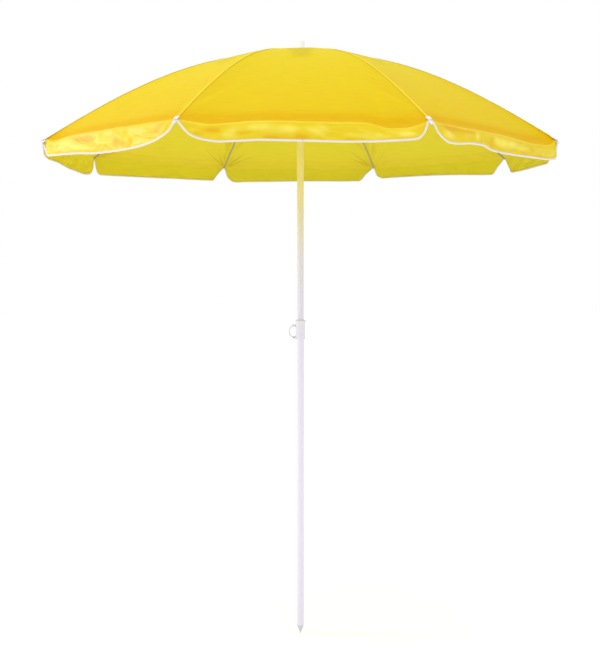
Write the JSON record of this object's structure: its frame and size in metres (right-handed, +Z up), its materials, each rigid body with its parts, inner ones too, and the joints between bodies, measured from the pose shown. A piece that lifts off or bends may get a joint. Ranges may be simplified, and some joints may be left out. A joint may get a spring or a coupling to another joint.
{
  "type": "beach umbrella",
  "caption": "Beach umbrella with a domed fabric canopy on hinged wire ribs and a two-part telescoping pole locked by a spring ring-pull, with a pointed foot.",
  "frame": {"origin": "point of the ground spike, on the pole's axis", "axes": "+Z up the pole; -X is the side of the lock ring; a canopy panel faces -Y"},
  "size_m": [1.5024, 1.5024, 1.9937],
  "materials": {
    "pole_paint": "satin powder coat",
    "steel": "drawn wire",
    "white_plastic": "moulded",
    "spike_plastic": "moulded",
    "canopy_cloth": "woven polyester"
  },
  "bodies": {
    "lower_pole": {"lower_pole": "pole_paint", "ground_spike": "spike_plastic", "height_collar": "white_plastic", "ring_hinge_pin": "steel"},
    "lock_ring": {"lock_ring": "white_plastic", "lock_pin": "steel"},
    "upper_pole": {"upper_pole": "pole_paint", "pole_bush": "white_plastic", "crown_hub": "white_plastic", "crown_wire_ring": "steel", "finial_cap": "white_plastic", "canopy_panel_1": "canopy_cloth", "canopy_panel_2": "canopy_cloth", "canopy_panel_3": "canopy_cloth", "canopy_panel_4": "canopy_cloth", "canopy_panel_5": "canopy_cloth", "canopy_panel_6": "canopy_cloth", "canopy_panel_7": "canopy_cloth", "canopy_panel_8": "canopy_cloth"},
    "runner": {"runner": "white_plastic"},
    "rib_1": {"rib_1": "steel", "tip_cap_1": "white_plastic", "rivet_1": "steel"},
    "stretcher_1": {"stretcher_1": "steel"},
    "rib_2": {"rib_2": "steel", "tip_cap_2": "white_plastic", "rivet_2": "steel"},
    "stretcher_2": {"stretcher_2": "steel"},
    "rib_3": {"rib_3": "steel", "tip_cap_3": "white_plastic", "rivet_3": "steel"},
    "stretcher_3": {"stretcher_3": "steel"},
    "rib_4": {"rib_4": "steel", "tip_cap_4": "white_plastic", "rivet_4": "steel"},
    "stretcher_4": {"stretcher_4": "steel"},
    "rib_5": {"rib_5": "steel", "tip_cap_5": "white_plastic", "rivet_5": "steel"},
    "stretcher_5": {"stretcher_5": "steel"},
    "rib_6": {"rib_6": "steel", "tip_cap_6": "white_plastic", "rivet_6": "steel"},
    "stretcher_6": {"stretcher_6": "steel"},
    "rib_7": {"rib_7": "steel", "tip_cap_7": "white_plastic", "rivet_7": "steel"},
    "stretcher_7": {"stretcher_7": "steel"},
    "rib_8": {"rib_8": "steel", "tip_cap_8": "white_plastic", "rivet_8": "steel"},
    "stretcher_8": {"stretcher_8": "steel"}
  },
  "joints": [
    {"name": "height_slide", "type": "slide", "parent": "lower_pole", "child": "upper_pole", "axis": [0, 0, 1], "range_m": [-0.21, 0]},
    {"name": "lock_ring_pull", "type": "hinge", "parent": "lower_pole", "child": "lock_ring", "pos_m": [-0.0215, 0, 1.03], "axis": [0, -1, 0], "range_deg": [0, 8], "stiffness_Nm_per_rad": 0.4, "springref_deg": -11.46},
    {"name": "runner_slide", "type": "slide", "parent": "upper_pole", "child": "runner", "axis": [0, 0, -1], "range_m": [0, 0.4476], "deforming": ["canopy_panel_1", "canopy_panel_2", "canopy_panel_3", "canopy_panel_4", "canopy_panel_5", "canopy_panel_6", "canopy_panel_7", "canopy_panel_8"]},
    {"name": "rib_1_hinge", "type": "hinge", "parent": "upper_pole", "child": "rib_1", "pos_m": [0.01755, 0.00727, 1.93927], "axis": [-0.3827, 0.9239, 0], "range_deg": [0, 66.15]},
    {"name": "stretcher_1_hinge", "type": "hinge", "parent": "rib_1", "child": "stretcher_1", "pos_m": [0.27244, 0.11285, 1.89146], "axis": [-0.3827, 0.9239, 0], "range_deg": [-132.3, 0]},
    {"name": "rib_2_hinge", "type": "hinge", "parent": "upper_pole", "child": "rib_2", "pos_m": [0.00727, 0.01755, 1.93927], "axis": [-0.9239, 0.3827, 0], "range_deg": [0, 66.15]},
    {"name": "stretcher_2_hinge", "type": "hinge", "parent": "rib_2", "child": "stretcher_2", "pos_m": [0.11285, 0.27244, 1.89146], "axis": [-0.9239, 0.3827, 0], "range_deg": [-132.3, 0]},
    {"name": "rib_3_hinge", "type": "hinge", "parent": "upper_pole", "child": "rib_3", "pos_m": [-0.00727, 0.01755, 1.93927], "axis": [-0.9239, -0.3827, 0], "range_deg": [0, 66.15]},
    {"name": "stretcher_3_hinge", "type": "hinge", "parent": "rib_3", "child": "stretcher_3", "pos_m": [-0.11285, 0.27244, 1.89146], "axis": [-0.9239, -0.3827, 0], "range_deg": [-132.3, 0]},
    {"name": "rib_4_hinge", "type": "hinge", "parent": "upper_pole", "child": "rib_4", "pos_m": [-0.01755, 0.00727, 1.93927], "axis": [-0.3827, -0.9239, 0], "range_deg": [0, 66.15]},
    {"name": "stretcher_4_hinge", "type": "hinge", "parent": "rib_4", "child": "stretcher_4", "pos_m": [-0.27244, 0.11285, 1.89146], "axis": [-0.3827, -0.9239, 0], "range_deg": [-132.3, 0]},
    {"name": "rib_5_hinge", "type": "hinge", "parent": "upper_pole", "child": "rib_5", "pos_m": [-0.01755, -0.00727, 1.93927], "axis": [0.3827, -0.9239, 0], "range_deg": [0, 66.15]},
    {"name": "stretcher_5_hinge", "type": "hinge", "parent": "rib_5", "child": "stretcher_5", "pos_m": [-0.27244, -0.11285, 1.89146], "axis": [0.3827, -0.9239, 0], "range_deg": [-132.3, 0]},
    {"name": "rib_6_hinge", "type": "hinge", "parent": "upper_pole", "child": "rib_6", "pos_m": [-0.00727, -0.01755, 1.93927], "axis": [0.9239, -0.3827, 0], "range_deg": [0, 66.15]},
    {"name": "stretcher_6_hinge", "type": "hinge", "parent": "rib_6", "child": "stretcher_6", "pos_m": [-0.11285, -0.27244, 1.89146], "axis": [0.9239, -0.3827, 0], "range_deg": [-132.3, 0]},
    {"name": "rib_7_hinge", "type": "hinge", "parent": "upper_pole", "child": "rib_7", "pos_m": [0.00727, -0.01755, 1.93927], "axis": [0.9239, 0.3827, 0], "range_deg": [0, 66.15]},
    {"name": "stretcher_7_hinge", "type": "hinge", "parent": "rib_7", "child": "stretcher_7", "pos_m": [0.11285, -0.27244, 1.89146], "axis": [0.9239, 0.3827, 0], "range_deg": [-132.3, 0]},
    {"name": "rib_8_hinge", "type": "hinge", "parent": "upper_pole", "child": "rib_8", "pos_m": [0.01755, -0.00727, 1.93927], "axis": [0.3827, 0.9239, 0], "range_deg": [0, 66.15]},
    {"name": "stretcher_8_hinge", "type": "hinge", "parent": "rib_8", "child": "stretcher_8", "pos_m": [0.27244, -0.11285, 1.89146], "axis": [0.3827, 0.9239, 0], "range_deg": [-132.3, 0]}
  ],
  "couplings": [
    {"joint": "rib_1_hinge", "follows": "runner_slide", "rad_per_m": 2.5774},
    {"joint": "stretcher_1_hinge", "follows": "runner_slide", "rad_per_m": -5.1549},
    {"joint": "rib_2_hinge", "follows": "runner_slide", "rad_per_m": 2.5774},
    {"joint": "stretcher_2_hinge", "follows": "runner_slide", "rad_per_m": -5.1549},
    {"joint": "rib_3_hinge", "follows": "runner_slide", "rad_per_m": 2.5774},
    {"joint": "stretcher_3_hinge", "follows": "runner_slide", "rad_per_m": -5.1549},
    {"joint": "rib_4_hinge", "follows": "runner_slide", "rad_per_m": 2.5774},
    {"joint": "stretcher_4_hinge", "follows": "runner_slide", "rad_per_m": -5.1549},
    {"joint": "rib_5_hinge", "follows": "runner_slide", "rad_per_m": 2.5774},
    {"joint": "stretcher_5_hinge", "follows": "runner_slide", "rad_per_m": -5.1549},
    {"joint": "rib_6_hinge", "follows": "runner_slide", "rad_per_m": 2.5774},
    {"joint": "stretcher_6_hinge", "follows": "runner_slide", "rad_per_m": -5.1549},
    {"joint": "rib_7_hinge", "follows": "runner_slide", "rad_per_m": 2.5774},
    {"joint": "stretcher_7_hinge", "follows": "runner_slide", "rad_per_m": -5.1549},
    {"joint": "rib_8_hinge", "follows": "runner_slide", "rad_per_m": 2.5774},
    {"joint": "stretcher_8_hinge", "follows": "runner_slide", "rad_per_m": -5.1549}
  ]
}
